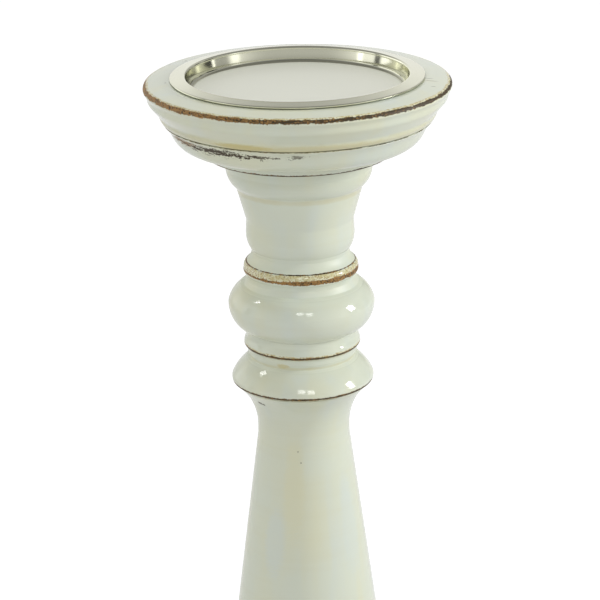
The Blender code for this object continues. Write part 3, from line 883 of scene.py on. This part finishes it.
def hex_nut(name, node, finish):
    """Hexagon nut whose corners are turned off at both faces."""
    low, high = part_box(node)
    corner = max(high.x - low.x, high.y - low.y) / 2
    flat = corner * math.cos(math.pi / 6)
    face = flat * NUT_FACE_SHARE
    hole, chamfer = HOLE_RADIUS * MM, HOLE_CHAMFER * MM
    shape = bmesh.new()
    loop = bmesh.ops.create_circle(shape, radius=hole, segments=48, cap_ends=False)["verts"]
    bmesh.ops.translate(shape, verts=loop, vec=(0.0, 0.0, high.z - chamfer))
    first = list({edge for vert in loop for edge in vert.link_edges})
    edges = first
    rings = [(hole + chamfer, high.z, False), (face, high.z, False), (flat, high.z, True),
             (flat, low.z, True), (face, low.z, False), (hole + chamfer, low.z, False),
             (hole, low.z + chamfer, False)]
    middle = (low.z + high.z) / 2
    for reach, height, hexagonal in rings:
        grown = bmesh.ops.extrude_edge_only(shape, edges=edges)["geom"]
        edges = [item for item in grown if isinstance(item, bmesh.types.BMEdge)
                 and len(item.link_faces) == 1]
        for vert in {vert for edge in edges for vert in edge.verts}:
            turn = math.atan2(vert.co.y, vert.co.x)
            radius, drop = reach, 0.0
            if hexagonal:
                off_flat = (turn % (math.pi / 3)) - math.pi / 6
                radius = reach / math.cos(off_flat)
                drop = (radius - face) * math.tan(math.radians(30))
            vert.co = Vector((radius * math.cos(turn), radius * math.sin(turn),
                              height - math.copysign(drop, height - middle)))
    bmesh.ops.bridge_loops(shape, edges=edges + first)
    bmesh.ops.recalc_face_normals(shape, faces=shape.faces)
    file_away(shape, name, "stand", [node], finish, NUT_CREASE)


class CANDLESTICK_OT_fit_hardware(bpy.types.Operator):
    """Cut the tie rod's thread and fit its nuts and washers."""

    bl_idname = "candlestick.fit_hardware"
    bl_label = "Fit Tie Rod"

    def execute(self, context):
        finish = material("zinc_steel", steel_finish, context.scene.candlestick_metal)
        threaded_rod(finish)
        washer("upper_washer", "top_washer", finish)
        washer("lower_washer", "bottom_washer", finish)
        split_washer("spring_washer", "bottom_lock_washer", finish)
        hex_nut("upper_nut", "top_nut", finish)
        hex_nut("lower_nut", "bottom_nut", finish)
        return {"FINISHED"}


class CANDLESTICK_OT_cut_felt(bpy.types.Operator):
    """Cut the felt disc and rough up its nap."""

    bl_idname = "candlestick.cut_felt"
    bl_label = "Cut Felt Pad"

    def execute(self, context):
        low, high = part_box("felt_pad")
        radius, thick = high.x / MM, (high.z - low.z) / MM
        points = [(0.0, thick), (radius, thick), (radius, 0.0), (0.0, 0.0)]
        shape = bmesh.new()
        verts = draw_profile(shape, trace(points, low.z), closed=False)
        soften_corners(shape, verts, FELT_EDGE * MM)
        divide_profile(shape, FELT_SPAN * MM)
        spin_profile(shape, 240)
        shape.normal_update()
        for vert in shape.verts:
            tuft = 0.5 + 0.5 * noise.noise(vert.co * 900.0)
            vert.co -= vert.normal * tuft * FELT_NAP * MM
        finish = material("wool_felt", felt_finish, context.scene.candlestick_metal)
        file_away(shape, "felt_disc", "stand", ["felt_pad"], finish)
        return {"FINISHED"}


# The camera's place in metres and its tilts in degrees, and the height the lamps aim at
CAMERA_PLACE = (-0.00063, -1.0426, 0.6431)
CAMERA_PITCH = -19.08
CAMERA_ROLL = -1.08
LAMP_AIM = 0.30


def aim(thing, target):
    """Turn a light so that it shines at the target."""
    away = Vector(thing.location) - Vector(target)
    thing.rotation_mode = "QUATERNION"
    thing.rotation_quaternion = away.to_track_quat("Z", "Y")


def add_lamp(name, azimuth, elevation, distance, size, power, in_gloss=True):
    """Rectangular lamp round the object; azimuth 0 is at the front, 90 on the right."""
    data = bpy.data.lights.new(name, "AREA")
    data.shape = "RECTANGLE"
    data.size, data.size_y = size
    data.energy = power
    lamp = bpy.data.objects.new(name, data)
    turn, rise = math.radians(azimuth), math.radians(elevation)
    middle = Vector((0.0, 0.0, LAMP_AIM))
    lamp.location = middle + distance * Vector((math.sin(turn) * math.cos(rise),
                                                -math.cos(turn) * math.cos(rise),
                                                math.sin(rise)))
    bpy.context.scene.collection.objects.link(lamp)
    aim(lamp, middle)
    lamp.visible_glossy = in_gloss
    return lamp


def make_floor(stage):
    """Wide pale floor, evenly lit like a studio sweep."""
    shape = bmesh.new()
    bmesh.ops.create_grid(shape, x_segments=8, y_segments=8, size=8.0)
    mesh = bpy.data.meshes.new("studio_floor")
    shape.to_mesh(mesh)
    shape.free()
    floor = bpy.data.objects.new("studio_floor", mesh)
    bpy.context.scene.collection.objects.link(floor)
    finish = Finish("floor_paper")
    spot = finish.node("TexCoord").outputs["Object"]
    tooth = finish.cloud(spot, 300.0, 2.0)
    shader = finish.surface.inputs
    finish.set(shader["Base Color"],
               finish.blend(tooth * 0.1, stage.floor, tuple(0.97 * c for c in stage.floor)))
    finish.set(shader["Roughness"], 0.9)
    path = finish.node("LightPath").outputs
    seen = Value(finish, path["Is Camera Ray"]) + Value(finish, path["Is Glossy Ray"]) * 0.5
    finish.set(shader["Emission Color"], stage.glow + 0.45 * seen)
    finish.set(shader["Emission Strength"], 1.0)
    mesh.materials.append(finish.material)
    floor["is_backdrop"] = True


# What stands round the studio and shows in the polish: azimuth and half-width, lowest and
# highest elevation in degrees, and brightness
SURROUND = [
    (120.0, 44.0, -6.0, 26.0, 0.42),
    (105.0, 8.0, -6.0, 24.0, 0.04),
    (126.0, 4.0, -6.0, 20.0, 0.05),
    (97.5, 1.4, 0.0, 7.0, 2.2),
    (68.0, 5.0, -6.0, 20.0, 1.4),
    (161.0, 5.0, -6.0, 12.0, 0.30),
    (-93.0, 4.0, -6.0, 20.0, 0.12),
    (-70.0, 3.0, 4.0, 16.0, 1.8),
    (-120.0, 21.0, -6.0, 20.0, 1.4),
]


def make_surround():
    """Studio walls: bright low down, dimmer overhead, at the front and a little at the back."""
    finish = Finish("studio_surround", world=True)
    bpy.context.scene.world = finish.material
    way = finish.node("TexCoord").outputs["Generated"]
    x, y, up = (Value(finish, part)
                for part in finish.node("SeparateXYZ", None, {0: way}).outputs)
    azimuth = finish.math("ARCTAN2", x, y * -1.0) * (360 / FULL_TURN)
    elevation = finish.math("ARCSINE", up) * (360 / FULL_TURN)
    low = 1 - finish.ease(up, 0.27, 0.70)
    light = ((0.28 + 0.78 * low) * (1 - 0.53 * finish.ease(y * -1.0, 0.1, 0.9))
             * (1 - 0.16 * finish.ease(y, 0.2, 0.8)))
    for turn, half_width, lowest, highest, brightness in SURROUND:
        here = (sector(finish, azimuth, turn - half_width, turn + half_width, 1.0)
                * sector(finish, elevation, lowest, highest, 1.5))
        light = light + here * (brightness - light)
    seen = Value(finish, finish.node("LightPath").outputs["Is Camera Ray"])
    finish.set(finish.surface.inputs["Color"], (1.0, 1.0, 1.0))
    finish.set(finish.surface.inputs["Strength"], seen + (1 - seen) * light)


def make_camera(stage):
    """Camera a little above the dish, looking down along +Y."""
    data = bpy.data.cameras.new("front_camera")
    data.lens = stage.lens
    data.sensor_width = 36.0
    data.clip_start, data.clip_end = 0.05, 40.0
    camera = bpy.data.objects.new("front_camera", data)
    bpy.context.scene.collection.objects.link(camera)
    camera.location = CAMERA_PLACE
    pitch = Matrix.Rotation(math.radians(90.0 + CAMERA_PITCH), 4, "X")
    roll = Matrix.Rotation(math.radians(CAMERA_ROLL), 4, "Z")
    camera.rotation_euler = (pitch @ roll).to_euler()
    bpy.context.scene.camera = camera


class CANDLESTICK_OT_set_stage(bpy.types.Operator):
    """Lay the floor, hang the lights and stand the camera."""

    bl_idname = "candlestick.set_stage"
    bl_label = "Set Stage"

    def execute(self, context):
        stage = context.scene.candlestick_stage
        context.scene.view_settings.view_transform = "Standard"
        make_floor(stage)
        make_surround()
        add_lamp("overhead_softbox", 0.0, 88.0, 1.4, (1.6, 1.6), stage.overhead, False)
        lamps = [add_lamp("key_softbox", 87.0, 20.0, 1.3, (0.25, 0.38), stage.key),
                 add_lamp("fill_softbox", -104.0, 44.0, 1.3, (0.13, 0.18), stage.fill),
                 add_lamp("left_window", -3.0, 38.5, 1.5, (0.25, 0.24), stage.windows),
                 add_lamp("right_window", 14.0, 36.0, 1.5, (0.25, 0.24), stage.windows)]
        lamps.append(add_lamp("front_softbox", 5.0, 24.0, 1.6, (1.2, 0.9), stage.front, False))
        pan_lamp = add_lamp("pan_softbox", 0.0, 87.0, 1.3, (1.0, 1.0), stage.above_pan, False)
        # The lamps would burn out in the polished pan, which has a light of its own
        lit = bpy.data.collections.new("lit_by_lamps")
        polished = bpy.data.collections.new("lit_from_above")
        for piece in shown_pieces():
            (polished if piece.name == "pressed_pan" else lit).objects.link(piece)
        for lamp in lamps:
            lamp.light_linking.receiver_collection = lit
        pan_lamp.light_linking.receiver_collection = polished
        make_camera(stage)
        return {"FINISHED"}


class CANDLESTICK_PT_workshop(bpy.types.Panel):
    """Sizes, colours and steps of the candlestick."""

    bl_label = "Candlestick"
    bl_space_type = "VIEW_3D"
    bl_region_type = "UI"
    bl_category = "Candlestick"

    def draw(self, context):
        for attribute, group in SETTINGS:
            box = self.layout.box()
            box.label(text=group.__doc__)
            settings = getattr(context.scene, attribute)
            for name in group.__annotations__:
                box.prop(settings, name)
        for operator in OPERATORS:
            self.layout.operator(operator.bl_idname)


SETTINGS = [
    ("candlestick_turning", TurningSettings),
    ("candlestick_paint", PaintSettings),
    ("candlestick_metal", MetalSettings),
    ("candlestick_stage", StageSettings),
]
OPERATORS = [
    CANDLESTICK_OT_turn_sections,
    CANDLESTICK_OT_press_pan,
    CANDLESTICK_OT_fit_hardware,
    CANDLESTICK_OT_cut_felt,
    CANDLESTICK_OT_set_stage,
]


def register():
    """Add the settings, the operators and the panel."""
    for attribute, group in SETTINGS:
        bpy.utils.register_class(group)
        setattr(bpy.types.Scene, attribute, PointerProperty(type=group))
    for operator in OPERATORS:
        bpy.utils.register_class(operator)
    bpy.utils.register_class(CANDLESTICK_PT_workshop)


def unregister():
    """Take the panel, the operators and the settings away again."""
    bpy.utils.unregister_class(CANDLESTICK_PT_workshop)
    for operator in reversed(OPERATORS):
        bpy.utils.unregister_class(operator)
    for attribute, group in reversed(SETTINGS):
        delattr(bpy.types.Scene, attribute)
        bpy.utils.unregister_class(group)


def main():
    """Build every piece in order."""
    register()
    bpy.ops.candlestick.turn_sections()
    bpy.ops.candlestick.press_pan()
    bpy.ops.candlestick.fit_hardware()
    bpy.ops.candlestick.cut_felt()
    bpy.ops.candlestick.set_stage()


if __name__ == "__main__":
    main()
